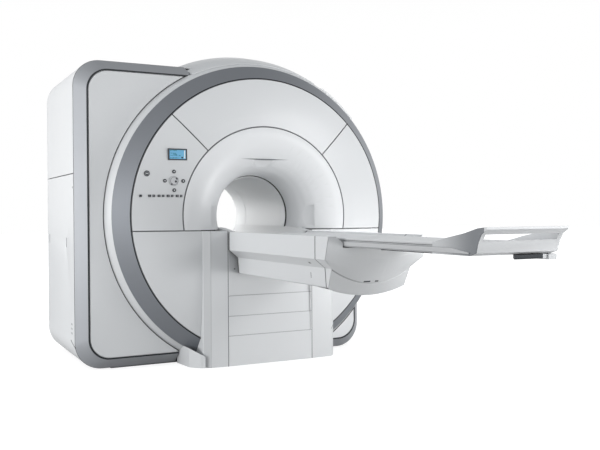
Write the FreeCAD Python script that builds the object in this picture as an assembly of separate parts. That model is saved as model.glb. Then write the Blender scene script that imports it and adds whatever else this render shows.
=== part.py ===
import FreeCAD, Part
import math
import os

# Magnetic resonance scanner with a lifting patient table.
# Millimetres. X runs across, +Y into the bore, +Z up; the origin is on the floor
# under the bore axis, in the plane of the round face's outer edge.

V = FreeCAD.Vector
os.makedirs("parts", exist_ok=True)

# ---- shared values -----------------------------------------------------------
skin = 6.0                  # wall of every moulded cover
seam = 4.0                  # open line between neighbouring covers
seat = 0.3                  # clearance of a piece on what carries it
far = 3000.0                # longer than anything a cutter has to pass

# ---- drum, accent ring and round face ----------------------------------------
drum_radius = 1157.0
drum_sink = 77.0            # how far the drum would reach below the floor
bore_height = drum_radius - drum_sink    # bore axis above the floor
drum_rim = 20.0             # straight rim of the drum behind the shield's front
flange_stop = 6.0           # the drum's flange ends this far beside the pedestal
ring_step = 37.0
ring_radius = drum_radius - ring_step
ring_rear = 108.0
ring_return = 12.0
face_step = 105.0
face_radius = ring_radius - face_step    # outer edge of the face
face_dome = 44.0            # how far the funnel's outer edge stands before the face edge
face_bulge = 8.0            # extra rise of the dome at half way
dome_bands = 4
face_rim = 20.0             # depth of the panels' return rims
face_width = 362.0
funnel_radius = face_radius - face_width
panel_split = 45.0          # the top panel's seams, degrees from the horizontal
cover_drop = 105.0
cover_split = bore_height - cover_drop   # height of the seam over the lower covers

# ---- shield and housing ------------------------------------------------------
shield_front = 170.0
housing_front = 250.0
housing_length = 1050.0
housing_rear = housing_front + housing_length
round_step = 17.0
housing_round = drum_radius - round_step # round back of the magnet on the right and on top
housing_wing = 191.0
housing_left = -drum_radius - housing_wing
housing_tuck = 187.0
housing_right = housing_round - housing_tuck
housing_bottom = 5.0
top_flat = 41.0
housing_top = bore_height + housing_round - top_flat
housing_corner = 190.0
rear_rounding = 45.0
rear_depth = 60.0
shield_left = housing_left + 81.0
shield_right = housing_right - 68.0
shield_bottom = housing_bottom + 75.0
shield_top = housing_top - 73.0
shield_corner = 150.0
bezel_lip = 8.0
bezel_wall = 8.0
side_rise = 300.0
side_split = bore_height + side_rise     # height of the seam in the left side wall
skirt_lip = 60.0            # flat lip of the side covers under the housing
grip_width = 26.0
grip_height = 68.0
grip_depth = 24.0
grip_places = [(housing_front + 257.0, bore_height - 188.0), (housing_rear - 115.0, bore_height - 176.0)]

# ---- magnet bore and what lies round it --------------------------------------
bore_radius = 300.0
throat_step = 10.0
funnel_throat = bore_radius + throat_step
funnel_rear = housing_front + 12.0
funnel_bands = 6
liner_wall = 5.0
throat_gap = 10.0
liner_front = funnel_rear + throat_gap   # the liner stands off the funnel's throat
liner_rear = housing_rear - 260.0
mouth_step = 40.0
rear_flare_radius = bore_radius + mouth_step
body_coil_wall = 24.4
body_coil_outer = bore_radius + liner_wall + seat + body_coil_wall
body_coil_front = liner_front + 18.0
body_coil_rear = liner_rear - 20.0
vessel_bore = body_coil_outer + 120.3
vessel_room = 200.0         # free ring between the magnet and the round covers
vessel_radius = housing_round - vessel_room
vessel_front = housing_front - 60.0
vessel_rear = housing_rear - 140.0

# ---- service turret and hood -------------------------------------------------
hood_half_angle = 26.0
hood_height = 110.0
hood_radius = housing_round + hood_height
hood_shoulder = 35.0
hood_rise = hood_radius - hood_shoulder
hood_front = shield_front - 20.0
hood_rise_y = housing_front + 50.0
hood_flat_y = housing_front + 200.0
hood_rear = housing_rear - 150.0
hood_rear_slope = 55.0
cold_head_radius = 90.0
cold_head_y = (housing_front + hood_rear) / 2
hood_room = 45.0            # free height over the turret's head
cold_head_top = bore_height + hood_radius - hood_room
service_gap = 60.0          # clear ring round the turret in the cover below the hood

# ---- pedestal and lower covers -----------------------------------------------
slot_half = 336.5           # half width of the niche that the lifting table runs in
pedestal_cheek = 175.5
pedestal_half = slot_half + pedestal_cheek      # the pedestal's left side
pedestal_extra = 42.0
pedestal_right = pedestal_half + pedestal_extra  # its right side stands out further
pedestal_bevel = 42.0
pedestal_bevel_y = -90.0
pedestal_edge_y = -46.0
pedestal_front = -100.0
foot_plan = [(-pedestal_half - 106.0, 218.0), (-pedestal_half - 85.0, 10.0),
             (-pedestal_half - 27.0, -66.0), (-pedestal_half + 4.0, -80.0)]
ledge_depth = 150.0

# ---- floor frame -------------------------------------------------------------
rail_height = 70.0
rail_width = 60.0
foot_x = vessel_radius - 440.0
foot_size = 140.0
foot_rows = [housing_front + 80.0, housing_rear - 280.0]

# ---- lifting arm -------------------------------------------------------------
arm_drop = 114.0
arm_top = bore_height - arm_drop
arm_rear = -105.0
arm_length = 1280.0
arm_seam = arm_rear - arm_length
arm_half = 335.0
arm_side_bottom = arm_top - 131.0
arm_step_half = arm_half - 65.0
arm_step_top = arm_top - 186.0
arm_foot_half = arm_half - 73.0
arm_bottom = arm_top - 301.0
arm_foot_round = 12.0
trough_half = arm_half - 38.0
trough_slope_half = arm_half - 83.0
trough_slope = arm_top - 36.0
trough_foot_half = arm_half - 89.0
trough_floor = arm_top - 110.0
beam_inner = 120.0
beam_outer = 200.0
end_plate = 12.0
drive_half = 70.0
drive_length = 240.0
drive_height = 110.0
drive_front = arm_rear - 515.0
motor_radius = 42.0
motor_length = 200.0
# the arm's end cap meets the nose along this line, (y, z) from the rim down
nose_joint = [(arm_seam - 155.0, arm_top), (arm_seam - 115.0, arm_top - 134.0),
              (arm_seam - 75.0, arm_top - 192.0), (arm_seam - 25.0, arm_top - 297.0),
              (arm_seam - 19.0, arm_top - 311.0)]
# the nose bows out from that line: height and half width there, then y and height in the middle
nose_upper_rows = [(arm_top, arm_half - 1.0, arm_seam - 215.0, arm_top),
                   (arm_top - 66.0, arm_half - 0.5, arm_seam - 191.0, arm_top - 131.0),
                   (arm_side_bottom, arm_half - 0.5, arm_seam - 140.0, arm_top - 201.0),
                   (arm_step_top - 4.0, arm_step_half, arm_seam - 85.0, arm_top - 277.0)]
nose_lower_rows = [(arm_step_top - 8.0, arm_step_half, arm_seam - 83.0, arm_top - 281.0),
                   (arm_bottom - 4.0, arm_foot_half, arm_seam - 26.0, arm_bottom - 51.0)]
chin_length = 210.0         # the nose's keel runs on under the arm
chin_half = 235.0
chin_tip = 7.0
notch_gap = 2.0             # free way round the tabletop in the nose

# ---- telescoping skirt and lift ----------------------------------------------
lift_stroke = 460.0
niche_front = pedestal_front + 30.0
niche_wall = 8.0
sheet = 4.0
sheet_gap = 1.5
skirt_half = slot_half - 8.5
yoke_top = trough_floor - 18.0
skirt_top = yoke_top
skirt_seams = [skirt_top - 643.0, skirt_top - 502.0, skirt_top - 356.0]
skirt_overlap = 25.0
bracket_inner = 125.0
bracket_outer = 195.0
bracket_bottom = arm_bottom + 25.0
yoke_plate = 12.0
yoke_half = 255.0
yoke_rear = 60.0
post_x = 230.0
post_width = 40.0
post_front = 40.0
post_rear = 80.0
guide_width = 16.0
guide_depth = 20.0
shoe_width = 50.0
shoe_front = -20.0
ram_y = 10.0
ram_radius = 45.0
ram_bore = 38.0
ram_stage_bore = 26.0
ram_top = yoke_top - yoke_plate - lift_stroke - 6.0
ram_overlap = 45.0
rod_overlap = 30.0
ram_base = 10.0

# ---- bridge through the bore -------------------------------------------------
bridge_half = arm_half + 0.7
bridge_front = pedestal_front
bridge_floor = 10.0
bridge_rise_y = 80.0
bridge_rise = arm_top + 24.0
bridge_bore_y = 170.0
bridge_bore_top = arm_top + 27.0
bridge_bore_half = bore_radius - 19.0
bridge_bore_slope_half = bridge_bore_half - 25.0
bridge_rear = housing_rear - 60.0

# ---- patient tabletop --------------------------------------------------------
board_half = 240.0
board_top = arm_top - 9.0
board_bottom = board_top - 49.0
board_head = -320.0
board_length = 2030.0
board_foot = board_head - board_length
board_groove = board_top - 14.0
board_edge = 5.0
groove_depth = 3.0
groove_height = 4.0
rail_strip = 5.0
rail_strip_bottom = board_bottom + 6.0
rail_strip_top = board_bottom + 30.0
rail_strip_end = board_foot - 265.0
rail_strip_taper = 125.0
slide_x = 130.0
slide_half = 10.0
slide_height = 18.0
shoe_half = 24.0
shoe_length = 90.0
shoe_places = [board_head - 930.0, board_head - 130.0]
rack_half = 14.0
rack_height = 22.0
rack_length = 1700.0
rack_inset = 120.0
handle_wall = 24.0
handle_bottom = board_bottom - 3.0
handle_bar_bottom = board_top + 43.0
handle_slot_bottom = board_top + 15.0
# the foot end's side, (distance past the board's foot, height over the board's top)
handle_profile = [(0.0, 0.0), (106.0, 25.0), (227.0, 47.0), (315.0, 70.0), (373.0, 76.0), (377.0, 65.0),
                  (340.0, 43.0), (319.0, 4.0), (307.0, -39.0), (263.0, -52.0)]
handle_tray = [(270.0, -2.0), (290.0, 18.0), (330.0, 46.0), (326.0, 103.0)]
handle_reach = 450.0
handle_slot = 250.0
fitting_left = -70.0
fitting_right = 190.0
fitting_rear = board_foot - 210.0
fitting_length = 80.0
fitting_bottom = handle_bottom - 21.0
fitting_step = 6.0
fitting_nose = 15.0
fitting_inset = 45.0
block_bottom = handle_bottom - 26.0
block_length = 90.0

# ---- controls on the left face panel -----------------------------------------
display_left = -funnel_radius - 103.0
display_width = 137.0
display_right = display_left + display_width
display_bottom = bore_height + 391.0
display_height = 81.0
display_top = display_bottom + display_height
display_frame = 9.0
display_depth = 14.0
dial_place = (-funnel_radius - 63.0, bore_height + 246.0)
dial_radius = 36.0
arrow_reach = 65.0
arrow_radius = 13.0
stop_place = (-funnel_radius - 250.0, bore_height + 296.0)
stop_radius = 20.0
key_row = bore_height + 141.0
key_height = 16.0
power_x = -funnel_radius - 295.0
power_width = 18.0
rocker_x = [-funnel_radius - 220.5, -funnel_radius - 156.5, -funnel_radius - 93.0, -funnel_radius - 29.0]
rocker_width = 46.0
rocker_gap = 1.0            # room for the rocker keys to tilt
proud = 4.0
button_depth = 16.0


# ---- sketching helpers -------------------------------------------------------
def path(steps, place):
    """Closed wire. A step is a point, or (point on the arc, end point) for a round stretch."""
    edges = []
    here = steps[0]
    for step in steps[1:] + [steps[0]]:
        if isinstance(step[0], tuple):
            middle, end = step
            edges.append(Part.Arc(place(here), place(middle), place(end)).toShape())
            here = end
        elif math.dist(here, step) > 1e-6:
            edges.append(Part.LineSegment(place(here), place(step)).toShape())
            here = step
    return Part.Wire(edges)


def across(steps, y0, y1):
    """Outline in (x, z) drawn at y0 and pulled to y1."""
    wire = path(steps, lambda p: V(p[0], y0, p[1]))
    return Part.Face(wire).extrude(V(0, y1 - y0, 0))


def upright(steps, z0, z1):
    """Plan in (x, y) drawn at z0 and pulled up to z1."""
    wire = path(steps, lambda p: V(p[0], p[1], z0))
    return Part.Face(wire).extrude(V(0, 0, z1 - z0))


def sideways(steps, x0, x1):
    """Side view in (y, z) drawn at x0 and pulled to x1."""
    wire = path(steps, lambda p: V(x0, p[0], p[1]))
    return Part.Face(wire).extrude(V(x1 - x0, 0, 0))


def box(x0, x1, y0, y1, z0, z1):
    return Part.makeBox(x1 - x0, y1 - y0, z1 - z0, V(x0, y0, z0))


def turned(steps):
    """Section in (radius, y) turned about the bore axis."""
    wire = path(steps, lambda p: V(0, p[1], bore_height + p[0]))
    return Part.Face(wire).revolve(V(0, 0, bore_height), V(0, 1, 0), 360)


def bore_disc(radius, y0, y1):
    return Part.makeCylinder(radius, y1 - y0, V(0, y0, bore_height), V(0, 1, 0))


def bore_tube(inner, outer, y0, y1):
    return bore_disc(outer, y0, y1).cut(bore_disc(inner, y0 - 1, y1 + 1))


def post(radius, x, y, z0, z1):
    return Part.makeCylinder(radius, z1 - z0, V(x, y, z0), V(0, 0, 1))


def stud(radius, x, z, y0, y1):
    return Part.makeCylinder(radius, y1 - y0, V(x, y0, z), V(0, 1, 0))


def mirrored(shape):
    return shape.mirror(V(0, 0, 0), V(1, 0, 0))


def pair(shape):
    """The shape and its mirror image, as separate solids of one node."""
    return Part.makeCompound([shape, mirrored(shape)])


def sector(from_angle, to_angle, y0, y1):
    """Wedge about the bore axis, under half a turn wide."""
    reach = far
    corners = [(0.0, bore_height)]
    steps = 4
    for step in range(steps + 1):
        angle = math.radians(from_angle + (to_angle - from_angle) * step / steps)
        corners.append((reach * math.cos(angle), bore_height + reach * math.sin(angle)))
    return across(corners, y0, y1)


def save(name, shape):
    shape.exportStep("parts/" + name + ".step")


def round_chord(radius, x):
    """Height above the axis of a circle about the bore axis, at x."""
    return math.sqrt(radius * radius - x * x)


def shrunk(corners, depth):
    """Straight-sided outline, counter-clockwise, with every side moved in by a depth."""
    moved = []
    count = len(corners)
    for index in range(count):
        a, b, c = corners[index - 1], corners[index], corners[(index + 1) % count]
        first = ((b[0] - a[0]) / math.dist(a, b), (b[1] - a[1]) / math.dist(a, b))
        second = ((c[0] - b[0]) / math.dist(b, c), (c[1] - b[1]) / math.dist(b, c))
        normal = (-first[1] - second[1], first[0] + second[0])
        share = depth / (1 + first[0] * second[0] + first[1] * second[1])
        moved.append((b[0] + normal[0] * share, b[1] + normal[1] * share))
    return moved


# ---- outlines of shield and housing ------------------------------------------
def corner_arc(cx, cz, radius, angle):
    """Middle point of a corner's arc, in the direction of angle."""
    turn = math.radians(angle)
    return (cx + radius * math.cos(turn), cz + radius * math.sin(turn))


def rounded(left, right, bottom, top, corner):
    """Rectangle with four round corners."""
    return [
        (left + corner, bottom), (right - corner, bottom),
        (corner_arc(right - corner, bottom + corner, corner, -45), (right, bottom + corner)),
        (right, top - corner),
        (corner_arc(right - corner, top - corner, corner, 45), (right - corner, top)),
        (left + corner, top),
        (corner_arc(left + corner, top - corner, corner, 135), (left, top - corner)),
        (left, bottom + corner),
        (corner_arc(left + corner, bottom + corner, corner, 225), (left + corner, bottom)),
    ]


def housing_outline(inset):
    """The housing's section: square at the left and below, round at the upper right."""
    left = housing_left + inset
    right = housing_right - inset
    bottom = housing_bottom + inset
    top = housing_top - inset
    corner = housing_corner - inset
    radius = housing_round - inset
    low = bore_height - round_chord(radius, right)
    top_x = -math.sqrt(radius ** 2 - (top - bore_height) ** 2)
    turn = math.radians(45)
    middle = (radius * math.cos(turn), bore_height + radius * math.sin(turn))
    return [
        (left + corner, bottom), (right - corner, bottom),
        (corner_arc(right - corner, bottom + corner, corner, -45), (right, bottom + corner)),
        (right, low),
        (middle, (top_x, top)),
        (left + corner, top),
        (corner_arc(left + corner, top - corner, corner, 135), (left, top - corner)),
        (left, bottom + corner),
        (corner_arc(left + corner, bottom + corner, corner, 225), (left + corner, bottom)),
    ]


def shield_outline(inset):
    return rounded(shield_left + inset, shield_right - inset, shield_bottom + inset,
                   shield_top - inset, shield_corner - inset)


# ---- domed face --------------------------------------------------------------
def dome():
    """Centre and radius of the circle that the face's section follows."""
    outer = (face_radius, 0.0)
    inner = (funnel_radius, -face_dome)
    chord = math.dist(outer, inner)
    radius = (chord ** 2 / 4 + face_bulge ** 2) / (2 * face_bulge)
    along = ((inner[0] - outer[0]) / chord, (inner[1] - outer[1]) / chord)
    middle = ((outer[0] + inner[0]) / 2, (outer[1] + inner[1]) / 2)
    back = radius - face_bulge
    return middle[0] + along[1] * back, middle[1] - along[0] * back, radius


dome_r, dome_y, dome_size = dome()


def face_y(radius, depth=0.0):
    """Y of the domed face at a radius, or of the surface a depth behind it."""
    size = dome_size - depth
    return dome_y - math.sqrt(size ** 2 - (radius - dome_r) ** 2)


def face_at(x, z):
    return face_y(math.hypot(x, z - bore_height))


def dome_line(inner, outer, depth, bands):
    """Section points of the dome from the outer to the inner radius, in narrow bands."""
    radii = [outer + (inner - outer) * step / bands for step in range(bands + 1)]
    return [(radius, face_y(radius, depth)) for radius in radii]


def dome_shell(inner, outer):
    """Domed sheet between two radii, with no rims."""
    front = dome_line(inner, outer, 0, dome_bands)
    back = dome_line(inner, outer, skin, 1)
    return turned(front + back[::-1])


def face_ring():
    """The three face panels before they are cut apart."""
    outer = face_radius - seam
    inner = funnel_radius + seam
    sheet_part = dome_shell(inner, outer)
    outer_rim = bore_tube(outer - skin, outer, face_y(outer) + 1, face_rim)
    inner_rim = bore_tube(inner, inner + skin, face_y(inner) + 1, face_rim - face_dome)
    return sheet_part.fuse([outer_rim, inner_rim]).removeSplitter()


def face_panels():
    ring = face_ring()
    half = seam / 2
    above = box(-far, far, -far, far, cover_split + half, far)
    seam_turn = math.radians(panel_split)
    gap = across([(half, bore_height), (-half, bore_height), (-half, far), (half, far)], -far, far)
    seams = []
    for side in (-1, 1):
        cutter = gap.copy()
        cutter.rotate(V(0, 0, bore_height), V(0, 1, 0), side * (90 - math.degrees(seam_turn)))
        seams.append(cutter)
    ring = ring.common(above)
    for cutter in seams:
        ring = ring.cut(cutter)
    solids = sorted(ring.Solids, key=lambda s: s.CenterOfMass.x)
    return solids


# ---- bore funnel -------------------------------------------------------------
funnel_crest = (funnel_radius - 78.0, -face_dome - 7.0)     # foremost point of the flare, radius and y
funnel_hollow = (funnel_throat + 12.0, -face_dome + 32.0)   # corner that the flare's curve bends towards


def funnel_curve():
    """Section of the flare: over its crest, then bending into the throat."""
    start = (funnel_radius, -face_dome)
    end = (funnel_throat, funnel_rear)
    points = [start]
    for step in range(funnel_bands + 1):
        t = step / funnel_bands
        shares = ((1 - t) ** 2, 2 * t * (1 - t), t ** 2)
        points.append(tuple(shares[0] * a + shares[1] * b + shares[2] * c
                            for a, b, c in zip(funnel_crest, funnel_hollow, end)))
    return points


def funnel_points(depth):
    """Section points of the flare, moved a depth into the wall."""
    points = funnel_curve()
    moved = []
    for index, point in enumerate(points):
        before = points[max(index - 1, 0)]
        after = points[min(index + 1, len(points) - 1)]
        dr = after[0] - before[0]
        dy = after[1] - before[1]
        size = math.hypot(dr, dy)
        moved.append((point[0] + depth * dy / size, point[1] - depth * dr / size))
    return moved


def flare(front_depth, back_depth):
    """Flared sheet: its back is plainer, two cones and a straight throat."""
    points = funnel_points(back_depth)
    back = [points[0], points[1], points[3], points[5], (points[5][0], funnel_rear)]
    return turned(funnel_points(front_depth) + back[::-1])


scoop_radius = 200.0        # hollow of each scoop across the flare
scoop_depth = 24.0
scoop_shelf = funnel_throat + 110.0     # radius of the scoop's straight shelf
scoop_turns = [-90.0, 0.0, 90.0]


def scoop(extra):
    """Slanted round hollow below a straight shelf, as at the top of the funnel."""
    slope = V(0, 40, -50)
    slope.normalize()
    normal = V(0, -50, -40)
    normal.normalize()
    at = V(0, 0, bore_height + scoop_shelf) + normal * (scoop_radius - scoop_depth)
    body = Part.makeCylinder(scoop_radius + extra, 2 * scoop_radius, at - slope * scoop_radius, slope)
    top = bore_height + scoop_shelf + extra
    return body.common(box(-far, far, -far, far, 0, top))


def bore_funnel():
    """Flared entrance with its three scoops, cut open for the table below."""
    rim_back = face_rim - face_dome + seat
    rim = turned([
        (funnel_radius, -face_dome + 2), (funnel_radius, rim_back),
        (funnel_radius + 14, rim_back), (funnel_radius + 14, rim_back + skin),
        (funnel_radius - skin, rim_back + skin), (funnel_radius - skin, -face_dome + 3),
    ])
    body = flare(0, skin).fuse(rim)
    thick = flare(0, scoop_depth + skin + 4)
    for turn in scoop_turns:
        outer = scoop(skin)
        outer.rotate(V(0, 0, bore_height), V(0, 1, 0), turn)
        body = body.fuse(thick.common(outer))
    for turn in scoop_turns:
        inner = scoop(0)
        inner.rotate(V(0, 0, bore_height), V(0, 1, 0), turn)
        body = body.cut(inner)
    above = box(-far, far, -far, far, cover_split + seam / 2, far)
    return body.common(above)


def front_region(gap):
    """All that lies behind the face and the flare, grown forward by a gap."""
    points = [(face_radius + 5, far), (face_radius + 5, -gap)]
    points += [(r, y - gap) for r, y in dome_line(funnel_radius, face_radius, 0, dome_bands)]
    points += funnel_points(-gap)[1:]
    points.append((bore_radius - gap, liner_front))
    points.append((bore_radius - gap, far))
    return turned(points)


# ---- accent ring and drum ----------------------------------------------------
def pedestal_gap():
    return box(-pedestal_half - seat, pedestal_right + seat, -far, far, -far, bore_height)


def ring_inside(y):
    """Radius of the accent ring's inner surface at y."""
    slope = (ring_radius - face_radius) / ring_rear
    return face_radius + y * slope - skin * math.hypot(1, slope)


def accent_ring():
    flange = face_rim + seat
    section = [
        (face_radius, 0.0), (ring_radius, ring_rear), (ring_radius, ring_rear + ring_return),
        (ring_radius - skin, ring_rear + ring_return), (ring_radius - skin, ring_rear + 2),
        (ring_inside(flange + skin), flange + skin),
        (face_radius - 12, flange + skin), (face_radius - 12, flange), (face_radius, flange),
    ]
    return turned(section).cut(pedestal_gap())


def drum_shell():
    front = ring_radius + seat
    section = [
        (front, ring_rear), (drum_radius, shield_front),
        (drum_radius, shield_front + drum_rim), (drum_radius - skin, shield_front + drum_rim),
        (drum_radius - skin, shield_front + 2), (front, ring_rear + ring_return),
    ]
    rim_y = shield_front + drum_rim - skin
    flange = bore_tube(drum_radius - skin, drum_radius + 18, rim_y, rim_y + skin)
    inside = across(shield_outline(14), rim_y - 1, rim_y + skin + 1)
    flange = flange.common(inside)
    flange = flange.cut(box(foot_plan[0][0] - seam, pedestal_right + flange_stop, -far, far, -far, far))
    body = turned(section).fuse(flange)
    return body.cut(pedestal_gap())


# ---- shield ------------------------------------------------------------------
def shield_limits():
    """Cutters that keep the shield's two pieces clear of drum, hood and foot."""
    round_cut = bore_disc(drum_radius + 3, -far, far)
    hood_cut = sector(90 - hood_half_angle - 30, 90 + hood_half_angle + 0.15, -far, far)
    return round_cut, hood_cut


def shield_half(shape, side):
    """Left (-1) or right (1) piece of a shield shape."""
    round_cut, hood_cut = shield_limits()
    shape = shape.cut(round_cut).cut(hood_cut)
    foot_edge = foot_plan[0][0] - seam
    if side < 0:
        return shape.common(box(-far, foot_edge, -far, far, -far, far).fuse(
            box(-far, 0, -far, far, bore_height, far)))
    return shape.common(box(pedestal_right + seam, far, -far, far, -far, bore_height))


def shield_panel(side):
    lip = bezel_lip + seam
    step = shield_front + bezel_wall + seat
    front = across(shield_outline(lip), shield_front, step)
    flange = across(shield_outline(bezel_lip - 4), step, shield_front + drum_rim - skin - seat)
    return shield_half(front.fuse(flange), side).removeSplitter()


def bezel_frustum(shift):
    """The slanted band between the shield's and the housing's outlines, as a solid."""
    back = rounded(housing_left, housing_right, housing_bottom, housing_top, housing_corner)
    wires = [
        path(back, lambda p: V(p[0], housing_front + shift, p[1])),
        path(shield_outline(0), lambda p: V(p[0], shield_front + shift, p[1])),
    ]
    return Part.makeLoft(wires, True, True)


def shield_bezel(side):
    band = bezel_frustum(0).cut(bezel_frustum(bezel_wall))
    band = band.cut(across(shield_outline(bezel_lip), shield_front - 5, shield_front + 40))
    inset = skin + seat
    back = rounded(housing_left + inset, housing_right - inset, housing_bottom + inset,
                   housing_top - inset, housing_corner - inset)
    inset += 5
    hole = rounded(housing_left + inset, housing_right - inset, housing_bottom + inset,
                   housing_top - inset, housing_corner - inset)
    lip = across(back, housing_front - 5, housing_front + 14)
    lip = lip.cut(across(hole, housing_front - 6, housing_front + 15))
    if side < 0:
        lip = lip.common(box(-far, 0, -far, far, rail_height + 30, far))
    top = bore_height - round_chord(housing_round, housing_right)
    if side > 0:
        lip = lip.common(box(0, far, -far, far, rail_height + 30, top - 14))
    piece = shield_half(band.fuse(lip), side)
    if side > 0:
        piece = piece.common(box(0, far, -far, far, -far, top))
    return piece


# ---- housing -----------------------------------------------------------------
def housing_wall():
    y0 = housing_front + seam
    y1 = housing_rear - rear_depth
    outside = across(housing_outline(0), y0, y1)
    return outside.cut(across(housing_outline(skin), y0 - 1, y1 + 1))


def grip_cup(y, z):
    """Finger recess moulded into the left side wall."""
    x = housing_left
    half_y = grip_width / 2
    half_z = grip_height / 2
    outside = box(x + 1, x + grip_depth + skin, y - half_y - skin, y + half_y + skin,
                  z - half_z - skin, z + half_z + skin)
    inside = box(x - 5, x + grip_depth, y - half_y, y + half_y, z - half_z, z + half_z)
    return outside, inside


def side_covers():
    wall = housing_wall()
    half = seam / 2
    lip_left = housing_left + housing_corner + skirt_lip
    lower = wall.common(box(-far, lip_left, -far, far, -far, side_split - half))
    for y, z in grip_places:
        outside, inside = grip_cup(y, z)
        lower = lower.fuse(outside).cut(inside)
    top_edge = -math.sqrt(housing_round ** 2 - (housing_top - bore_height) ** 2)
    upper = wall.common(box(-far, top_edge - half, -far, far, side_split + half, far))
    lip_right = housing_right - housing_corner - skirt_lip
    right = wall.common(box(top_edge + half, far, -far, far, bore_height, far).fuse(
        box(lip_right, far, -far, far, -far, bore_height)))
    right = right.cut(post(cold_head_radius + service_gap, 0, cold_head_y, bore_height, far))
    return upper, lower, right


def rear_cover():
    y0 = housing_rear - rear_depth + seam
    outside = across(housing_outline(0), y0, housing_rear)
    outside = outside.makeChamfer(rear_rounding, rear_edges(outside, housing_rear))
    inside = across(housing_outline(skin), y0 - 1, housing_rear - skin)
    inside = inside.makeChamfer(rear_rounding - skin / 2, rear_edges(inside, housing_rear - skin))
    inset = skin + seat
    lip = across(housing_outline(inset), y0 - 22, y0 + 4)
    lip = lip.cut(across(housing_outline(inset + 5), y0 - 23, y0 + 5))
    lip = lip.common(box(-far, far, -far, far, rail_height + 30, far))
    bridge = across(housing_outline(skin - 1), y0, y0 + 4).cut(
        across(housing_outline(inset + 5), y0 - 1, y0 + 5))
    hole = bore_disc(rear_flare_radius + skin * math.sqrt(2) + seat, y0 - 30, housing_rear + 10)
    return outside.cut(inside).fuse([lip, bridge]).cut(hole)


def rear_edges(solid, y):
    return [e for e in solid.Edges if abs(e.BoundBox.YMin - y) < 0.01 and abs(e.BoundBox.YMax - y) < 0.01]


def rear_mouth():
    """Straight rear end of the bore with a slanted mouth."""
    y0 = liner_rear + seam
    mouth = rear_flare_radius - bore_radius
    bend = housing_rear - mouth
    bend_back = skin * math.tan(math.radians(22.5))
    return turned([
        (bore_radius, y0), (bore_radius, bend), (rear_flare_radius, housing_rear),
        (rear_flare_radius + skin * math.sqrt(2), housing_rear), (bore_radius + skin, bend - bend_back),
        (bore_radius + skin, y0),
    ])


# ---- hood --------------------------------------------------------------------
def hood_section():
    drum_top = ring_radius + (drum_radius - ring_radius) * (hood_front - ring_rear) / (shield_front - ring_rear)
    outer = [
        (drum_top + skin, hood_front), (drum_radius + skin + 1, shield_front), (hood_rise, hood_rise_y),
        (hood_radius, hood_flat_y), (hood_radius, hood_rear - hood_rear_slope),
        (hood_radius - hood_rear_slope, hood_rear), (housing_round + 0.5, hood_rear),
    ]
    inner = [
        (drum_top + 1, hood_front), (drum_radius + 0.6, shield_front),
        (drum_radius + 0.6, shield_front + drum_rim + 8), (hood_rise - skin, hood_rise_y + 3),
        (hood_radius - skin, hood_flat_y + 2), (hood_radius - skin, hood_rear - hood_rear_slope - 2),
        (hood_radius - hood_rear_slope - 2, hood_rear - skin), (housing_round + 0.5, hood_rear - skin),
    ]
    return outer, inner


def hood():
    """Raised cover on top: a turned shell closed by a radial wall at each end."""
    outer, inner = hood_section()
    shell = turned(outer + list(reversed(inner)))
    low = outer[0][0] - skin + 1
    solid = turned([(low, hood_front)] + outer[:-1] + [(low, hood_rear)])
    half = hood_half_angle
    wall = math.degrees(skin / hood_radius)
    shape = shell.common(sector(90 - half, 90 + half, -far, far))
    for first in (90 - half, 90 + half - wall):
        shape = shape.fuse(solid.common(sector(first, first + wall, -far, far)))
    shape = shape.cut(across(housing_outline(-0.5), housing_front + seam - seat, far))
    shape = shape.cut(bore_disc(drum_radius + 0.5, shield_front, shield_front + drum_rim + 1))
    front = turned([(0, -far), (ring_radius, -far), (ring_radius + 0.5, ring_rear),
                    (drum_radius + 0.5, shield_front), (0, shield_front)])
    return shape.cut(front)


# ---- lower covers ------------------------------------------------------------
def pedestal_sheet(half):
    """Plan of the left part of the pedestal's front, from its side to the niche."""
    x = -half
    bevel = x + pedestal_bevel
    return [
        (x, pedestal_edge_y), (bevel, pedestal_bevel_y), (-slot_half, pedestal_front),
        (-slot_half, niche_front + niche_wall), (-slot_half - skin, niche_front + niche_wall),
        (-slot_half - skin, pedestal_front + skin), (bevel + 3, pedestal_bevel_y + skin),
        (x + skin, pedestal_edge_y + 4), (x + skin, 14.0), (x, 14.0),
    ]


def lower_cover(half):
    """Left lower cover: domed outside the pedestal, folded over it, with a flat top ledge."""
    top = cover_split - seam / 2
    outer = face_radius - seam
    domed = dome_shell(half - 12, outer)
    domed = domed.common(box(-far, -half + 1, -far, far, 0, top))
    front = upright(pedestal_sheet(half), 0, top)
    ledge = upright([
        (-outer + 2, 8), (-half, pedestal_edge_y + 2), (-half + pedestal_bevel, pedestal_bevel_y + 2),
        (-slot_half - 1, pedestal_front + 2), (-slot_half - 1, ledge_depth), (-outer + 2, ledge_depth),
    ], top - skin, top)
    ledge = ledge.cut(front_region(1.0))
    side_top = bore_height - round_chord(outer, half)
    side = box(-half, -half + skin, 0, shield_front - seam, 0, side_top)
    cover = domed.fuse([front, ledge, side])
    keep = bore_disc(outer, -far, far).fuse(box(-half, 0, -far, far, 0, bore_height))
    return cover.common(keep)


def drum_foot():
    """Block under the drum at the left of the pedestal."""
    x = -pedestal_half - seat
    edge = foot_plan[-1][0]
    plan = list(foot_plan)
    plan += [(edge, pedestal_edge_y - 5.0), (x, pedestal_edge_y - 0.7), (x, foot_plan[0][1])]
    block = upright(plan, 0, bore_height / 2)
    gap = 0.5
    drum = turned([
        (0, -far), (face_radius + gap, -far), (face_radius + gap, 0), (ring_radius + gap, ring_rear),
        (drum_radius + gap, shield_front), (drum_radius + gap, shield_front + drum_rim + gap),
        (0, shield_front + drum_rim + gap),
    ])
    return block.cut(drum).cut(box(-far, far, shield_front + drum_rim, far, shield_bottom + 20, far))


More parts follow.
